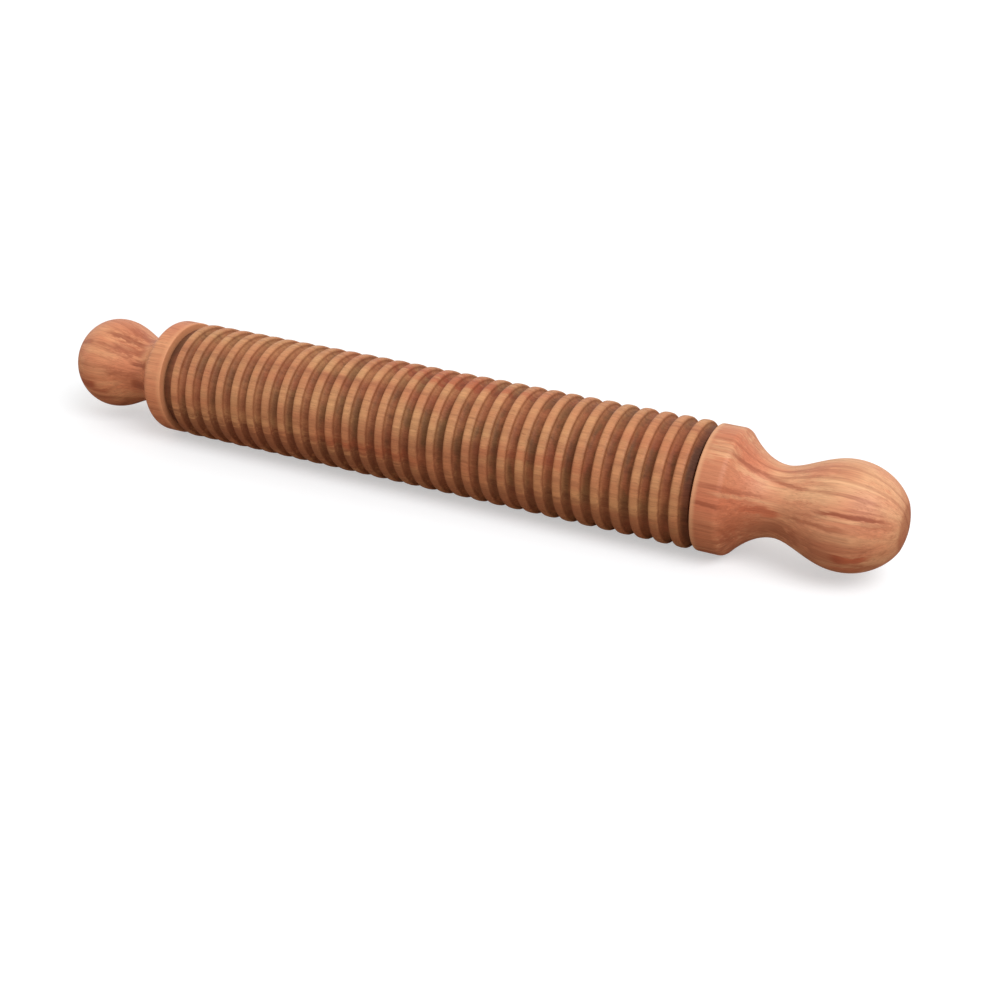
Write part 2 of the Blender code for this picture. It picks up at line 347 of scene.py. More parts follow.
def chamfered_ring(inner, outer, start, end, chamfer):
    """The closed outline of a ring from start to end with its outer corners chamfered."""
    return [
        (start, inner),
        (start, outer - chamfer),
        (start + chamfer, outer),
        (end - chamfer, outer),
        (end, outer - chamfer),
        (end, inner),
        (start, inner),
    ]


def cut_thread(piece, zones):
    """Presses a helical thread into a spun rod, wherever its rings lie in one of the (start, end) zones."""
    for vertex in piece.data.vertices:
        x, y, z = vertex.co
        r = math.hypot(y, z)
        if r < ROD_RADIUS - THREAD_DEPTH or not any(start < x < end for start, end in zones):
            continue
        around = math.atan2(z, y) / (2 * math.pi)
        tooth = abs((x / THREAD_PITCH - around) % 1 * 2 - 1)
        shrink = (r - THREAD_DEPTH * tooth) / r
        vertex.co = (x, y * shrink, z * shrink)


def make_rod(material):
    """The axle rod, with a rolled thread at each end from the lock nut outwards."""
    low, high = rod_low.x, rod_high.x
    thread_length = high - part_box("lock_nut_right")[0].x
    cut_length = thread_length - ROD_CHAMFER
    steps = round(cut_length / THREAD_PITCH * THREAD_STEPS)
    reach = [ROD_CHAMFER + cut_length * i / steps for i in range(steps + 1)]
    points = [(low, 0.0), (low, ROD_RADIUS - ROD_CHAMFER)]
    points += [(low + x, ROD_RADIUS) for x in reach]
    points += [(high - x, ROD_RADIUS) for x in reversed(reach)]
    points += [(high, ROD_RADIUS - ROD_CHAMFER), (high, 0.0)]
    rod = turn("steel_axle_rod", points, METAL_SEGMENTS)
    left_zone = (low + ROD_CHAMFER, low + thread_length)
    right_zone = (high - thread_length, high - ROD_CHAMFER)
    cut_thread(rod, (left_zone, right_zone))
    return finish_piece(rod, "axle_rod", "handles_and_axle", material)


def make_bushing(side, material):
    """A flanged sleeve pressed into the end of the barrel."""
    low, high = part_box("bushing_" + side)
    outer = high.x if side == "right" else low.x
    face = abs(outer - BARREL_MIDDLE) - BELL_FACE
    back = face - FLANGE_THICKNESS
    start = face - (high.x - low.x)
    lead, round_off = 0.5 * MM, 0.4 * MM
    points = [
        (start, BORE_RADIUS + lead / 2),
        (start, SLEEVE_RADIUS - lead),
        (start + 2 * lead, SLEEVE_RADIUS),
        (back, SLEEVE_RADIUS),
        (back, FLANGE_RADIUS),
    ]
    points += arc(face - round_off, FLANGE_RADIUS - round_off, round_off, 90, 0, FLANGE_ROUND_STEPS)
    points += [(face, BORE_RADIUS + lead), (face - lead, BORE_RADIUS), (start + lead / 2, BORE_RADIUS)]
    points.append(points[0])
    sleeve = turn("nylon_bushing_" + side, on_side(side, points), METAL_SEGMENTS)
    return finish_piece(sleeve, "bushing_" + side, "barrel", material)


def make_washer(side, material):
    """A stamped washer, with one edge rounded over by the punch."""
    node = "thrust_washer_" + side
    low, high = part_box(node)
    burr = 0.3 * MM
    points = chamfered_ring(BORE_RADIUS, WASHER_RADIUS, low.x, high.x, burr)
    washer = turn("steel_washer_" + side, points, METAL_SEGMENTS)
    return finish_piece(washer, node, "handles_and_axle", material)


def make_insert(side, material):
    """A brass insert with ribs, knurled by sinking every other line of points round them."""
    node = "threaded_insert_" + side
    low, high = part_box(node)
    pitch = (high.x - low.x) / INSERT_RIBS
    valley = INSERT_RADIUS - INSERT_RIB_HEIGHT
    lead = 0.3 * MM
    points = [(low.x + lead, BORE_RADIUS), (low.x, BORE_RADIUS + lead), (low.x, valley)]
    for i in range(INSERT_RIBS):
        start = low.x + i * pitch
        points += [(start + share * pitch, INSERT_RADIUS) for share in INSERT_RIB_SHARES]
        points.append((start + INSERT_RIB_FOOT * pitch, valley))
    points += [(high.x, valley), (high.x, BORE_RADIUS + lead), (high.x - lead, BORE_RADIUS), points[0]]
    insert = turn("brass_insert_" + side, points, METAL_SEGMENTS)
    for vertex in insert.data.vertices:
        x, y, z = vertex.co
        r = math.hypot(y, z)
        line = round(math.atan2(z, y) / (2 * math.pi) * METAL_SEGMENTS)
        if r > INSERT_RADIUS - KNURL_HEIGHT / 10 and line % 2:
            shrink = (r - KNURL_HEIGHT) / r
            vertex.co = (x, y * shrink, z * shrink)
    return finish_piece(insert, node, "handles_and_axle", material)


def cut_with(piece, tool, operation):
    """Cuts a piece with another mesh, applies the cut and removes the tool."""
    cut = piece.modifiers.new("Cut", "BOOLEAN")
    cut.operation = operation
    cut.object = tool
    deselect_all()
    bpy.context.view_layer.objects.active = piece
    bpy.ops.object.modifier_apply(modifier=cut.name)
    bpy.data.objects.remove(tool)


def make_nut(side, material):
    """A thin hexagon nut, its corners turned off at 30 degrees and its bore countersunk."""
    node = "lock_nut_" + side
    low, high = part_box(node)
    middle, thickness = (low.x + high.x) / 2, high.x - low.x
    corner = NUT_ACROSS_FLATS / 2 / math.cos(math.pi / 6)
    deselect_all()
    bpy.ops.mesh.primitive_cylinder_add(
        vertices=6,
        radius=corner,
        depth=thickness,
        location=(middle, 0, 0),
        rotation=(0, math.pi / 2, 0),
    )
    nut = bpy.context.object
    nut.name = "steel_nut_" + side
    nut.data.name = nut.name
    bpy.ops.object.transform_apply(location=True, rotation=True, scale=True)
    flat, spare = NUT_ACROSS_FLATS / 2, 1 * MM
    rim = corner + spare
    drop = NUT_CHAMFER * (rim - flat) / (corner - flat) / 2
    overrun = spare / 100
    face_radius = flat * NUT_FACE_SHARE
    lens = [
        (low.x - overrun, 0.0),
        (low.x - overrun, face_radius),
        (low.x + drop, rim),
        (high.x - drop, rim),
        (high.x + overrun, face_radius),
        (high.x + overrun, 0.0),
    ]
    cut_with(nut, turn("nut_corner_tool", lens, METAL_SEGMENTS), "INTERSECT")
    bore = [
        (low.x - spare, 0.0),
        (low.x - spare, BORE_RADIUS + NUT_SINK + spare),
        (low.x + NUT_SINK, BORE_RADIUS),
        (high.x - NUT_SINK, BORE_RADIUS),
        (high.x + spare, BORE_RADIUS + NUT_SINK + spare),
        (high.x + spare, 0.0),
    ]
    cut_with(nut, turn("nut_bore_tool", bore, METAL_SEGMENTS), "DIFFERENCE")
    bpy.context.view_layer.objects.active = nut
    nut.select_set(True)
    bpy.ops.object.shade_smooth_by_angle(angle=NUT_SMOOTH_ANGLE)
    return finish_piece(nut, node, "handles_and_axle", material)


# Materials

TO_MM = (1000.0, 1000.0, 1000.0)
BLACK = (0.0, 0.0, 0.0, 1.0)
WHITE = (1.0, 1.0, 1.0, 1.0)
END_FACE_TONE = (0.78, 0.67, 0.63, 1.0)
# Tones for the grooves, partly soil and partly painted shade, and the painted shade in the barrel's end gaps
RED_SOIL_AND_SHADE_TONE = (0.42, 0.24, 0.165, 1.0)
BROWN_SOIL_AND_SHADE_TONE = (0.29, 0.235, 0.15, 1.0)
BARREL_END_SHADE_TONE = (0.5, 0.45, 0.40, 1.0)
PLAIN_MASKS = ("Bands", "Lines", "Streaks", "Fibres", "Pores", "Clouds")
STREAK_MASKS = ("Flush", "SapAndLight", "HeartAndShade")
STREAK_SIZES = ("Angle", "Slant", "Width", "Middle", "Length", "Strength")


def add_node(tree, kind, inputs=None, **settings):
    """A shader node with its settings. Each input is set to a value or linked from another node's output."""
    node = tree.nodes.new("ShaderNode" + kind)
    for setting, value in settings.items():
        setattr(node, setting, value)
    for socket, value in (inputs or {}).items():
        if isinstance(value, bpy.types.NodeSocket):
            tree.links.new(value, node.inputs[socket])
        else:
            node.inputs[socket].default_value = value
    return node


def maths(tree, operation, first, second=0.0, clamp=False):
    return add_node(tree, "Math", {0: first, 1: second}, operation=operation, use_clamp=clamp).outputs[0]


def mix_colour(tree, factor, first, second, blend="MIX"):
    mix = add_node(tree, "Mix", {0: factor, 6: first, 7: second}, data_type="RGBA", blend_type=blend)
    return mix.outputs[2]


def ramp(tree, value, low, high, to_low=0.0, to_high=1.0):
    """Maps a value smoothly from the range low to high onto the range to_low to to_high."""
    inputs = {"Value": value, "From Min": low, "From Max": high, "To Min": to_low, "To Max": to_high}
    return add_node(tree, "MapRange", inputs, interpolation_type="SMOOTHSTEP").outputs[0]


def own_place(tree):
    """A point's place on its own piece, in metres."""
    return add_node(tree, "TexCoord").outputs["Object"]


def split(tree, vector):
    return add_node(tree, "SeparateXYZ", {0: vector}).outputs


def from_middle(tree, along):
    """The distance from the barrel's middle, either way along the pin."""
    return maths(tree, "ABSOLUTE", maths(tree, "SUBTRACT", along, BARREL_MIDDLE))


def off_axle(tree, parts):
    """The distance from the axle line, from a place's parts."""
    square = maths(tree, "ADD", maths(tree, "POWER", parts[1], 2.0), maths(tree, "POWER", parts[2], 2.0))
    return maths(tree, "SQRT", square)


def stretch(tree, vector, scale):
    """Coordinates multiplied along each axis. A small number draws a pattern out."""
    return add_node(tree, "VectorMath", {0: vector, 1: scale}, operation="MULTIPLY").outputs[0]


def noise(tree, vector, detail=2.0, roughness=0.5):
    inputs = {"Vector": vector, "Scale": 1.0, "Detail": detail, "Roughness": roughness}
    return add_node(tree, "TexNoise", inputs).outputs["Fac"]


def line_noise(tree, place):
    """Noise that changes along one line only."""
    inputs = {"W": place, "Scale": 1.0, "Detail": 2.0}
    return add_node(tree, "TexNoise", inputs, noise_dimensions="1D").outputs["Fac"]


def new_group(name, inputs, outputs):
    group = bpy.data.node_groups.new(name, "ShaderNodeTree")
    for label, kind, value in inputs:
        socket = group.interface.new_socket(label, in_out="INPUT", socket_type="NodeSocket" + kind)
        socket.default_value = value
    for label, kind in outputs:
        group.interface.new_socket(label, in_out="OUTPUT", socket_type="NodeSocket" + kind)
    start = group.nodes.new("NodeGroupInput").outputs
    end = group.nodes.new("NodeGroupOutput").inputs
    return group, start, end


def use_group(tree, group, inputs):
    return add_node(tree, "Group", inputs, node_tree=group).outputs


def build_grain_coordinates():
    """Coordinates in millimetres. Flow draws the figure in at the neck, so that it follows the turned form.

    Closer to the axle than any turned side, on the end faces, the figure is cut straight across.
    """
    straight_radius = 7.5
    inputs = [("Flow", "Float", 0.0), ("Full Radius", "Float", 20.0), ("Shift", "Vector", (0.0, 0.0, 0.0))]
    group, start, end = new_group("Grain coordinates", inputs, [("Vector", "Vector"), ("Radius", "Float")])
    parts = split(group, stretch(group, own_place(group), TO_MM))
    radius = off_axle(group, parts)
    share = maths(group, "DIVIDE", start["Full Radius"], maths(group, "MAXIMUM", radius, straight_radius))
    draw = maths(group, "POWER", share, start["Flow"])
    y = maths(group, "MULTIPLY", parts[1], draw)
    z = maths(group, "MULTIPLY", parts[2], draw)
    flowing = add_node(group, "CombineXYZ", {0: parts[0], 1: y, 2: z}).outputs[0]
    moved = add_node(group, "VectorMath", {0: flowing, 1: start["Shift"]}, operation="ADD").outputs[0]
    group.links.new(moved, end["Vector"])
    group.links.new(radius, end["Radius"])
    return group


def build_hardwood_figure():
    """What shows in fine hardwood: broad bands, growth lines, streaks, fibres, open pores and clouds."""
    inputs = [("Vector", "Vector", (0.0, 0.0, 0.0)), ("Line Spacing", "Float", 3.0)]
    group, start, end = new_group("Hardwood figure", inputs, [(name, "Float") for name in PLAIN_MASKS])
    place = start["Vector"]
    bands = noise(group, stretch(group, place, (0.007, 0.085, 0.085)), 3.0, 0.55)
    group.links.new(ramp(group, bands, 0.36, 0.64), end["Bands"])

    bend = noise(group, stretch(group, place, (0.010, 0.035, 0.035)), 2.0)
    across = (0.0, 0.82, 0.57)
    slope = add_node(group, "VectorMath", {0: place, 1: across}, operation="DOT_PRODUCT").outputs["Value"]
    depth = maths(group, "ADD", slope, maths(group, "MULTIPLY", bend, 18.0))
    lines = line_noise(group, maths(group, "DIVIDE", depth, start["Line Spacing"]))
    group.links.new(ramp(group, lines, 0.50, 0.78), end["Lines"])

    streaks = noise(group, stretch(group, place, (0.011, 0.34, 0.34)), 4.0, 0.6)
    group.links.new(ramp(group, streaks, 0.50, 0.74), end["Streaks"])
    group.links.new(noise(group, stretch(group, place, (0.06, 2.2, 2.2)), 3.0, 0.6), end["Fibres"])
    pores = noise(group, stretch(group, place, (0.32, 4.2, 4.2)), 1.0)
    group.links.new(ramp(group, pores, 0.63, 0.76), end["Pores"])
    clouds = noise(group, stretch(group, place, (0.045, 0.10, 0.10)), 3.0)
    group.links.new(ramp(group, clouds, 0.34, 0.66), end["Clouds"])
    return group


def build_wood_colour():
    """Layers the figure's masks over one another, from the pale ground to the dark pores."""
    colours = ("Pale", "Middle", "Streak", "Cloud", "Red")
    inputs = [(name, "Color", (0.5, 0.5, 0.5, 1.0)) for name in colours]
    inputs += [(name, "Float", 0.0) for name in PLAIN_MASKS + STREAK_MASKS + ("End Grain",)]
    group, start, end = new_group("Wood colour", inputs, [("Color", "Color")])

    def layer(ground, mask, share, over):
        return mix_colour(group, maths(group, "MULTIPLY", start[mask], share), ground, start[over])

    ground = layer(start["Pale"], "Bands", 0.85, "Middle")
    ground = layer(ground, "Clouds", 0.50, "Cloud")
    ground = layer(ground, "Flush", 1.0, "Red")
    # Pale streaks: paler wood, and in places painted light
    ground = layer(ground, "SapAndLight", 1.0, "Pale")
    ground = layer(ground, "Lines", 0.40, "Streak")
    ground = layer(ground, "Streaks", 0.45, "Streak")
    # Dark streaks: darker wood, and in places painted shade
    ground = layer(ground, "HeartAndShade", 1.0, "Streak")
    lift = ramp(group, start["Fibres"], 0.3, 0.7, 1.10, 0.88)
    ground = add_node(group, "VectorMath", {0: ground, 3: lift}, operation="SCALE").outputs[0]
    ground = layer(ground, "Pores", 0.50, "Streak")
    ground = layer(ground, "End Grain", 0.50, "Streak")
    group.links.new(ground, end["Color"])
    return group


def build_heart_streak():
    """One streak that follows the turned form at an angle round the axle, and fades in and out."""
    inputs = [
        ("Vector", "Vector", (0.0, 0.0, 0.0)),
        ("Angle", "Float", 0.0),
        ("Slant", "Float", 0.0),
        ("Width", "Float", 5.0),
        ("Middle", "Float", 0.0),
        ("Length", "Float", 30.0),
        ("Strength", "Float", 1.0),
    ]
    group, start, end = new_group("Heart streak", inputs, [("Mask", "Float")])
    parts = split(group, start["Vector"])
    front = maths(group, "MULTIPLY", parts[1], -1.0)
    angle = maths(group, "DEGREES", maths(group, "ARCTAN2", parts[2], front))
    along = maths(group, "SUBTRACT", parts[0], start["Middle"])
    wave = noise(group, stretch(group, start["Vector"], (0.07, 0.0, 0.0)), 2.0)
    bend = maths(group, "MULTIPLY", maths(group, "SUBTRACT", wave, 0.5), 5.0)
    centre = maths(group, "ADD", start["Angle"], maths(group, "MULTIPLY", along, start["Slant"]))
    off = maths(group, "ABSOLUTE", maths(group, "SUBTRACT", maths(group, "ADD", angle, bend), centre))
    ragged = noise(group, stretch(group, start["Vector"], (0.15, 0.9, 0.9)), 3.0)
    width = maths(group, "MULTIPLY", start["Width"], ramp(group, ragged, 0.3, 0.7, 0.5, 1.5))
    side = ramp(group, maths(group, "DIVIDE", off, width), 0.25, 1.0, 1.0, 0.0)
    reach = maths(group, "DIVIDE", maths(group, "ABSOLUTE", along), start["Length"])
    faded = maths(group, "MULTIPLY", side, ramp(group, reach, 0.45, 1.0, 1.0, 0.0))
    faded = maths(group, "MULTIPLY", faded, ramp(group, off_axle(group, parts), 4.0, 8.5))
    group.links.new(maths(group, "MULTIPLY", faded, start["Strength"]), end["Mask"])
    return group


def build_end_grain():
    """Where the surface is cut across the fibres, which drink more oil and darken."""
    group, start, end = new_group("End grain", [("Sharpness", "Float", 3.0)], [("Mask", "Float")])
    normal = add_node(group, "TexCoord").outputs["Normal"]
    along = maths(group, "ABSOLUTE", split(group, normal)[0])
    group.links.new(maths(group, "POWER", along, start["Sharpness"]), end["Mask"])
    return group


def build_tool_marks():
    """Fine rings left by the turning tool and the sandpaper, stronger in some places than in others."""
    inputs = [("Vector", "Vector", (0.0, 0.0, 0.0)), ("Pace", "Float", 3.0)]
    group, start, end = new_group("Tool marks", inputs, [("Height", "Float")])
    along = split(group, start["Vector"])[0]
    lines = line_noise(group, maths(group, "MULTIPLY", along, start["Pace"]))
    patches = noise(group, stretch(group, start["Vector"], (0.08, 0.15, 0.15)))
    strength = ramp(group, patches, 0.35, 0.7, 0.25, 1.0)
    group.links.new(maths(group, "MULTIPLY", lines, strength), end["Height"])
    return group


GROUPS = {
    "coordinates": build_grain_coordinates(),
    "figure": build_hardwood_figure(),
    "colour": build_wood_colour(),
    "heart": build_heart_streak(),
    "end": build_end_grain(),
    "tool": build_tool_marks(),
}


def new_material(name):
    material = bpy.data.materials.new(name)
    material.use_nodes = True
    tree = material.node_tree
    return material, tree, tree.nodes["Principled BSDF"]


def colour(red, green, blue):
    """A colour given in 8-bit screen values."""
    def to_linear(value):
        share = value / 255
        return share / 12.92 if share <= 0.04045 else ((share + 0.055) / 1.055) ** 2.4
    return (to_linear(red), to_linear(green), to_linear(blue), 1.0)


def wood_layers(tree, look):
    """Puts the wood's groups in a material. Returns its colour, its figure and its grain coordinates."""
    place = use_group(tree, GROUPS["coordinates"], {"Flow": look["flow"], "Shift": look["shift"]})
    figure = use_group(tree, GROUPS["figure"], {"Vector": place["Vector"], "Line Spacing": look["lines"]})
    end = use_group(tree, GROUPS["end"], {"Sharpness": look["end_sharpness"]})["Mask"]
    inputs = {name: figure[name] for name in PLAIN_MASKS}
    inputs["End Grain"] = end
    inputs.update(look["colours"])
    own = stretch(tree, own_place(tree), TO_MM)
    for mask in STREAK_MASKS:
        total = 0.0
        for streak in look[mask]:
            sizes = dict(zip(STREAK_SIZES, streak))
            sizes["Vector"] = own
            total = maths(tree, "MAXIMUM", use_group(tree, GROUPS["heart"], sizes)["Mask"], total)
        inputs[mask] = total
    painted = use_group(tree, GROUPS["colour"], inputs)["Color"]
    return painted, figure, place


def wood_relief(tree, shader, figure, place, pace, depth):
    """Bumps for the fibres, the open pores and the tool marks."""
    marks = use_group(tree, GROUPS["tool"], {"Vector": place["Vector"], "Pace": pace})["Height"]
    height = maths(tree, "MULTIPLY", figure["Fibres"], 0.5)
    height = maths(tree, "SUBTRACT", height, figure["Pores"])
    height = maths(tree, "ADD", height, maths(tree, "MULTIPLY", marks, 0.8))
    bump = add_node(tree, "Bump", {"Height": height, "Distance": depth, "Strength": 1.0})
    tree.links.new(bump.outputs[0], shader.inputs["Normal"])


def handle_wood(side):
    """A handle's wood, darker on the end face across the grain, with a painted highlight on the rim of the
    bell.
    """
    look, sizes = LOOKS[side], HANDLES[side]
    material, tree, shader = new_material("Handle hardwood " + side)
    painted, figure, place = wood_layers(tree, look)
    out = from_middle(tree, split(tree, own_place(tree))[0])
    knob = BELL_FACE + sizes["bell"] + sizes["cove"] + sizes["swell"]
    face = sizes["knob"] * END_FACE_SHARE / MM
    on_knob = maths(tree, "GREATER_THAN", out, knob)
    tip = maths(tree, "MULTIPLY", on_knob, ramp(tree, place["Radius"], face + 0.5, face - 1.3))
    tip = maths(tree, "MULTIPLY", tip, ramp(tree, figure["Clouds"], 0.1, 0.9, 1.0, 0.65))
    painted = mix_colour(tree, tip, painted, END_FACE_TONE, "MULTIPLY")
    # A painted highlight on the rim of the bell, in the pale colour
    rim = ramp(tree, out, BELL_FACE + 0.6 * MM, BELL_FACE + 2.2 * MM, 0.55, 0.0)
    painted = mix_colour(tree, rim, painted, look["colours"]["Pale"])
    tree.links.new(painted, shader.inputs["Base Color"])
    tree.links.new(ramp(tree, figure["Fibres"], 0.3, 0.7, 0.46, 0.58), shader.inputs["Roughness"])
    shader.inputs["Specular IOR Level"].default_value = 0.40
    wood_relief(tree, shader, figure, place, 2.4, 0.03 * MM)
    return material


def barrel_ends(tree, parts, radius):
    """Where the barrel is cut down to the groove floor at its two ends, in the gaps beside the bells, where
    painted shade goes.
    """
    crest, floor = RIDGE_RADIUS / MM, FLOOR_RADIUS / MM
    near_end = ramp(tree, from_middle(tree, parts[0]), BARREL_END - 4 * MM, BARREL_END - 1 * MM)
    return maths(tree, "MULTIPLY", ramp(tree, radius, crest - 0.05, floor + 0.25), near_end)


def groove_depths(tree, parts):
    """From 0 in the middle of each crest, smoothly to 1 in the middle of each groove."""
    pace = 2 * math.pi / GROOVE_PITCH
    turned = maths(tree, "MULTIPLY", maths(tree, "SUBTRACT", parts[0], FIRST_GROOVE), pace)
    return ramp(tree, maths(tree, "COSINE", turned), -1.0, 0.9)


def soil_and_shade_strength(tree, parts, patches):
    """How dark the grooves' soil and painted shade are: less towards the left end, below and on top, and
    uneven everywhere. The painted shade is weaker below and on top to follow how the light falls there.
    """
    strength = ramp(tree, parts[0], -100 * MM, 80 * MM, 0.78, 1.0)
    strength = maths(tree, "MULTIPLY", strength, ramp(tree, parts[2], -10 * MM, 5 * MM, 0.52, 1.0))
    strength = maths(tree, "MULTIPLY", strength, ramp(tree, parts[2], 15 * MM, 20 * MM, 1.0, 0.85))
    return maths(tree, "MULTIPLY", strength, ramp(tree, patches, 0.30, 0.62, 0.80, 1.04))


def barrel_wood(look):
    """The barrel's wood, worn pale on the crests and darkened in the grooves, partly by oil and use and
    partly with painted shade.
    """
    material, tree, shader = new_material("Barrel hardwood")
    painted, figure, place = wood_layers(tree, look)
    own = own_place(tree)
    parts = split(tree, own)
    end_gap_shade = barrel_ends(tree, parts, place["Radius"])
    deep = maths(tree, "MAXIMUM", groove_depths(tree, parts), end_gap_shade)
    patches = noise(tree, stretch(tree, own, (170.0, 75.0, 75.0)), 3.0, 0.6)
    # The grooves' dark tone: partly soil, partly painted shade down in the recesses
    soiled_and_shaded = maths(tree, "MULTIPLY", deep, soil_and_shade_strength(tree, parts, patches), clamp=True)
    tone = mix_colour(tree, ramp(tree, patches, 0.42, 0.60), RED_SOIL_AND_SHADE_TONE, BROWN_SOIL_AND_SHADE_TONE)
    painted = mix_colour(tree, soiled_and_shaded, painted, tone, "MULTIPLY")
    # Painted shade in the gaps at both ends of the barrel, beside the bells
    painted = mix_colour(tree, end_gap_shade, painted, BARREL_END_SHADE_TONE, "MULTIPLY")
    tree.links.new(painted, shader.inputs["Base Color"])
    dry = maths(tree, "MULTIPLY", deep, 0.12)
    rough = maths(tree, "ADD", ramp(tree, figure["Fibres"], 0.3, 0.7, 0.50, 0.62), dry)
    tree.links.new(rough, shader.inputs["Roughness"])
    shader.inputs["Specular IOR Level"].default_value = 0.36
    wood_relief(tree, shader, figure, place, 3.5, 0.03 * MM)
    return material


def plain_metal(name, tint, shade, roughness, lines):
    """A drawn, plated or machined metal: two close tones in fine lines, and a little relief from them."""
    material, tree, shader = new_material(name)
    streaks = noise(tree, stretch(tree, own_place(tree), lines), 3.0, 0.6)
    toned = mix_colour(tree, ramp(tree, streaks, 0.3, 0.7), tint, shade)
    tree.links.new(toned, shader.inputs["Base Color"])
    low, high = roughness
    tree.links.new(ramp(tree, streaks, 0.3, 0.7, low, high), shader.inputs["Roughness"])
    shader.inputs["Metallic"].default_value = 1.0
    bump = add_node(tree, "Bump", {"Height": streaks, "Distance": 0.004 * MM, "Strength": 1.0})
    tree.links.new(bump.outputs[0], shader.inputs["Normal"])
    return material


def moulded_nylon():
    material, tree, shader = new_material("Natural nylon")
    cloudy = noise(tree, stretch(tree, own_place(tree), (900.0, 900.0, 900.0)), 3.0)
    tinted = mix_colour(tree, ramp(tree, cloudy, 0.3, 0.7), colour(232, 230, 220), colour(218, 214, 200))
    tree.links.new(tinted, shader.inputs["Base Color"])
    tree.links.new(ramp(tree, cloudy, 0.3, 0.7, 0.42, 0.52), shader.inputs["Roughness"])
    shader.inputs["Subsurface Weight"].default_value = 0.1
    shader.inputs["Subsurface Scale"].default_value = 1.0 * MM
    return material


# The stage, the lamp, the world and the camera

TABLE_SIZE = 12.0
TABLE_DROP = 0.02 * MM
TABLE_SEEN = (0.60, 0.625, 0.65, 1.0)
TABLE_THROWN_BACK = (0.30, 0.20, 0.15, 1.0)
WORLD_LIGHT = (0.75, 0.72, 0.69, 1.0)

# Where the camera stands from the pin's middle, and which way it looks, in degrees
CAMERA_DISTANCE = 485.72 * MM
CAMERA_TURN = 29.448
CAMERA_RISE = 23.831
VIEW_TURN = 27.11
VIEW_DROP = 26.60
CAMERA_LENS = 51.64
SENSOR_WIDTH = 36.0


def direction(turn_degrees, rise_degrees):
    """A unit vector from the pin out to the front, turned towards +X and raised, both in degrees."""
    turned, raised = math.radians(turn_degrees), math.radians(rise_degrees)
    flat = math.cos(raised)
    return Vector((math.sin(turned) * flat, -math.cos(turned) * flat, math.sin(raised)))


def make_camera():
    data = bpy.data.cameras.new("Camera")
    data.sensor_width = SENSOR_WIDTH
    data.lens = CAMERA_LENS
    data.clip_start = 10 * MM
    camera = bpy.data.objects.new("Camera", data)
    bpy.context.scene.collection.objects.link(camera)
    camera.location = direction(CAMERA_TURN, CAMERA_RISE) * CAMERA_DISTANCE
    looking = -direction(VIEW_TURN, VIEW_DROP)
    camera.rotation_euler = looking.to_track_quat("-Z", "Y").to_euler()
    bpy.context.scene.camera = camera


def make_lamp(name, turn_degrees, rise_degrees, distance, size, power):
    data = bpy.data.lights.new(name, "AREA")
    data.shape = "DISK"
    data.size = size
    data.energy = power
    lamp = bpy.data.objects.new(name, data)
    bpy.context.scene.collection.objects.link(lamp)
    lamp.location = direction(turn_degrees, rise_degrees) * distance
    lamp.rotation_euler = (-lamp.location).to_track_quat("-Z", "Y").to_euler()


def make_table():
    """A plain top that shows white with the pin's shadow on it, and throws less light back than it shows."""
    deselect_all()
    bpy.ops.mesh.primitive_plane_add(size=TABLE_SIZE, location=(0, 0, TABLE_HEIGHT - TABLE_DROP))
    table = bpy.context.object
    table.name = "table_top"
    material, tree, shader = new_material("White table")
    shader.inputs["Roughness"].default_value = 0.9
    shader.inputs["Specular IOR Level"].default_value = 0.1
    seen = add_node(tree, "LightPath").outputs["Is Camera Ray"]
    tree.links.new(mix_colour(tree, seen, TABLE_THROWN_BACK, TABLE_SEEN), shader.inputs["Base Color"])
    away = add_node(tree, "VectorMath", {0: own_place(tree)}, operation="LENGTH").outputs["Value"]
    whiter = ramp(tree, away, 0.20, 0.60, 0.45, 1.0)
    glow = mix_colour(tree, seen, BLACK, mix_colour(tree, whiter, BLACK, WHITE))
    tree.links.new(glow, shader.inputs["Emission Color"])
    shader.inputs["Emission Strength"].default_value = 1.0
    table.data.materials.append(material)


def make_world():
    """Soft light from all round. The camera, glossy and clear surfaces see plain white instead."""
    world = bpy.data.worlds.new("Studio")
    bpy.context.scene.world = world
    world.use_nodes = True
    tree = world.node_tree
    back = tree.nodes["Background"]
    path = add_node(tree, "LightPath").outputs
    mirrored = maths(tree, "MAXIMUM", path["Is Glossy Ray"], path["Is Transmission Ray"])
    seen = maths(tree, "MAXIMUM", path["Is Camera Ray"], mirrored)
    tree.links.new(mix_colour(tree, seen, WORLD_LIGHT, WHITE), back.inputs["Color"])


RIGHT_COLOURS = {
    "Pale": colour(224, 174, 131),
    "Middle": colour(202, 141, 103),
    "Streak": colour(150, 78, 50),
    "Cloud": colour(208, 128, 96),
    "Red": colour(184, 90, 58),
}
LEFT_COLOURS = {
    "Pale": colour(222, 158, 114),
    "Middle": colour(200, 128, 90),
    "Streak": colour(144, 72, 44),
    "Cloud": colour(200, 114, 80),
    "Red": colour(164, 80, 50),
}
BARREL_COLOURS = {
    "Pale": colour(202, 149, 102),
    "Middle": colour(181, 119, 80),
    "Streak": colour(134, 76, 48),
    "Cloud": colour(189, 113, 78),
    "Red": colour(172, 80, 48),
}
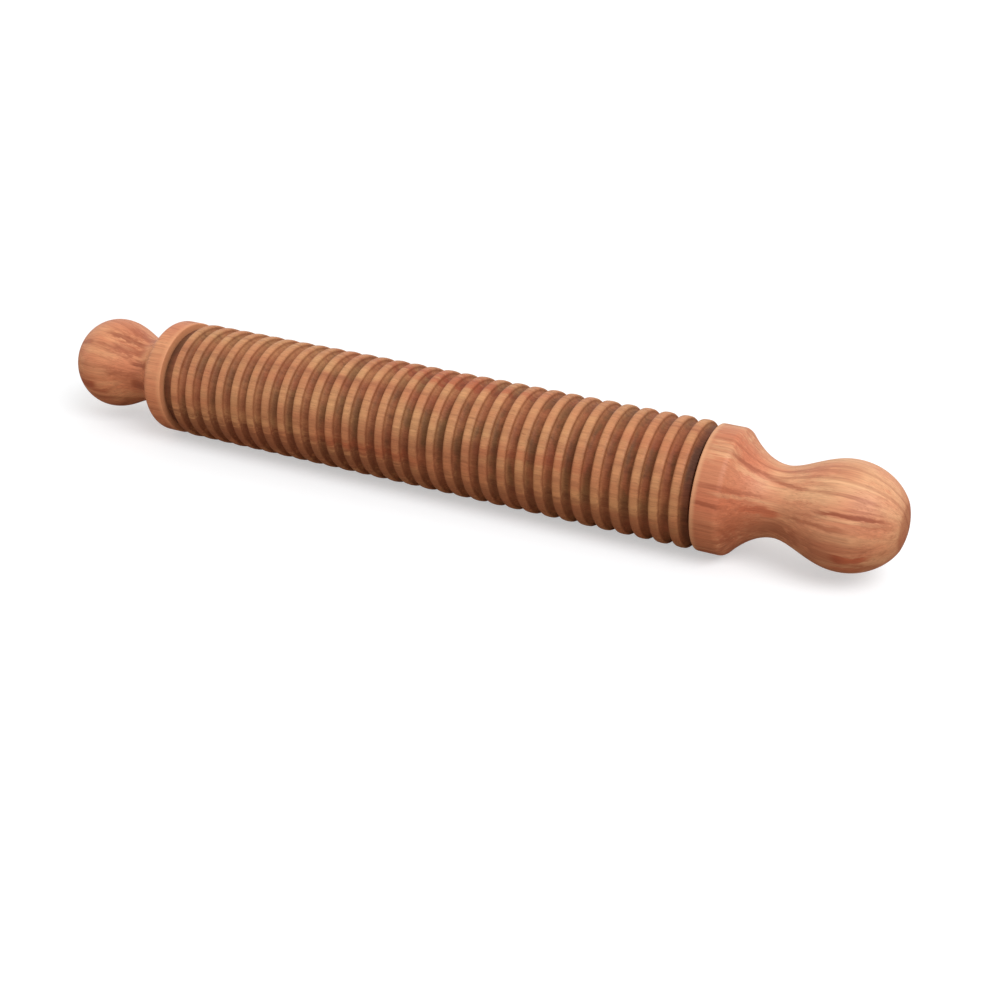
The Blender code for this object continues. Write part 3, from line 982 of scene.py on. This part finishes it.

# Each wood's flow at the neck, shift in millimetres, line spacing, end grain sharpness and colours, then its
# dark, red and pale streaks. Each streak: its angle up from the front in degrees, its slant in degrees per
# millimetre, its half width in degrees, its middle and half length along the pin in millimetres, and how
# strong it is. Some dark streaks are painted shade and some pale ones painted light, marked where they stand
LOOKS = {
    "right": {
        "flow": 0.62,
        "shift": (5.0, 31.0, 12.0),
        "lines": 3.0,
        "end_sharpness": 6.0,
        "colours": RIGHT_COLOURS,
        "HeartAndShade": [
            (61, -0.1, 5, 111, 10, 0.60),
            # The next three broad dark streaks low on the front are painted shade
            (-12, 0.0, 34, 109, 7, 0.40),
            (-4, -0.2, 13, 115, 12, 0.35),
            (-6, 0.1, 16, 136, 16, 0.28),
            (20, 0.0, 8, 148, 6, 0.35),
            (52, -1.0, 4, 121, 8, 0.60),
            (45, 0.0, 3.5, 138, 15, 0.40),
            (27, 0.05, 4, 106, 12, 0.50),
            (25.5, 0.12, 3.5, 141, 13, 0.95),
            (33, 0.25, 2.5, 145, 8, 0.45),
            (11, -0.1, 3, 99, 6, 0.75),
            (8, 0.0, 6, 113, 7, 0.50),
            (10, 0.05, 4, 131, 13, 0.55),
            (76, -0.4, 5, 126, 14, 0.35),
            # Painted shade low on the cove and neck
            (-20, 0.0, 20, 118, 13, 0.60),
            (38, -0.3, 4, 146, 8, 0.25),
            (-20, -0.6, 8, 133, 9, 0.45),
            (-31, -0.6, 5, 106, 6, 0.50),
        ],
        "Flush": [
            (30, 0.0, 170, 98, 19, 0.55),
            (7, 0.0, 10, 113, 9, 0.7),
            (-24, 0.0, 8, 142, 7, 0.8),
            (-44, 0.0, 11, 138, 14, 0.6),
        ],
        "SapAndLight": [
            (52, -0.3, 6, 110, 7, 0.50),
            (62, 0.0, 12, 100, 6, 0.60),
            (66, 0.0, 16, 120, 8, 0.50),
            (-40, 0.0, 10, 130, 8, 0.45),
            (80, 0.0, 18, 147, 8, 0.50),
            (45, 0.0, 5, 118, 6, 0.60),
            (38, 0.0, 9, 127, 12, 0.50),
            (60, 0.0, 7, 138, 16, 0.60),
            # A painted highlight along the knob
            (20.5, 0.05, 3.5, 140, 12, 0.60),
            (21, -0.1, 3.5, 109, 11, 0.40),
            (0, 0.2, 6, 141, 12, 0.40),
        ],
    },
    "left": {
        "flow": 0.62,
        "shift": (-90.0, -44.0, 37.0),
        "lines": 2.6,
        "end_sharpness": 6.0,
        "colours": LEFT_COLOURS,
        "HeartAndShade": [
            (68, 0.3, 7, -131, 10, 0.70),
            (48, 0.2, 14, -129, 8, 0.40),
            (0, 0.0, 22, -127, 7, 0.25),
            (29, -0.4, 7, -122, 6, 0.75),
            (9, -0.2, 8, -129, 8, 0.50),
            (-8, 0.0, 14, -122, 6, 0.75),
            (-33, 0.0, 6, -138, 6, 0.30),
            (47, 0.0, 3, -136, 6, 0.30),
        ],
        "Flush": [
            (-12, 0.3, 9, -144, 6, 0.85),
            (90, 0.0, 18, -127, 9, 0.60),
            (52, 0.0, 16, -128, 8, 0.55),
            (47, 0.0, 5, -146, 5, 0.50),
            (-19, 0.0, 6, -138, 6, 0.60),
        ],
        "SapAndLight": [
            (55, -0.4, 4, -133, 8, 0.50),
            # The next two pale streaks are painted light, on the knob's far end and low on its front
            (12, 0.0, 22, -149, 6, 0.55),
            (-36, 0.0, 14, -129, 9, 0.85),
            (35, 0.0, 5, -138, 10, 0.70),
            (-7, 0.0, 7, -134, 6, 0.60),
            (-22, -0.3, 5, -131, 6, 0.50),
            (50, 0.0, 16, -110, 6, 0.40),
        ],
    },
    "barrel": {
        "flow": 0.0,
        "shift": (40.0, 13.0, -21.0),
        "lines": 2.4,
        "end_sharpness": 12.0,
        "colours": BARREL_COLOURS,
        "HeartAndShade": [
            # The first two dark streaks are painted shade along the barrel's underside
            (-30, 0.0, 26, -10, 150, 0.45),
            (-28, 0.0, 24, -80, 120, 0.70),
            (10, 0.1, 22, 0, 40, 0.30),
            (12, 0.0, 12, -62, 34, 0.20),
        ],
        "Flush": [
            (88, -0.20, 10, 0, 34, 0.65),
            (80, 0.15, 6, 12, 30, 0.60),
            (95, 0.10, 5, -8, 40, 0.40),
            (18, 0.1, 8, 40, 30, 0.40),
            (-8, 0.0, 8, -20, 26, 0.50),
        ],
        "SapAndLight": [
            (52, 0.05, 9, -70, 36, 0.35),
            (44, 0.0, 9, 62, 30, 0.35),
        ],
    },
}


def main():
    make_camera()
    make_world()
    make_table()
    make_lamp("Key lamp", turn_degrees=58, rise_degrees=48, distance=1.2, size=0.75, power=8.2)

    barrel = turn("turned_barrel", barrel_outline(), WOOD_SEGMENTS)
    finish_piece(barrel, "grooved_barrel", "barrel", barrel_wood(LOOKS["barrel"]))
    steel = plain_metal(
        "Drawn steel",
        tint=(0.55, 0.55, 0.56, 1),
        shade=(0.42, 0.42, 0.43, 1),
        roughness=(0.26, 0.40),
        lines=(60, 4000, 4000),
    )
    plate = plain_metal(
        "Zinc plate",
        tint=(0.64, 0.65, 0.67, 1),
        shade=(0.52, 0.54, 0.58, 1),
        roughness=(0.28, 0.42),
        lines=(900, 900, 900),
    )
    brass = plain_metal(
        "Brass",
        tint=(0.78, 0.57, 0.25, 1),
        shade=(0.62, 0.43, 0.17, 1),
        roughness=(0.25, 0.38),
        lines=(4000, 300, 300),
    )
    nylon = moulded_nylon()
    for side in SIDES:
        handle = turn("turned_handle_" + side, handle_outline(side), WOOD_SEGMENTS)
        finish_piece(handle, "handle_" + side, "handles_and_axle", handle_wood(side))
        make_bushing(side, nylon)
        make_washer(side, plate)
        make_insert(side, brass)
        make_nut(side, plate)
    make_rod(steel)

    bpy.context.scene.view_settings.view_transform = "Standard"


main()
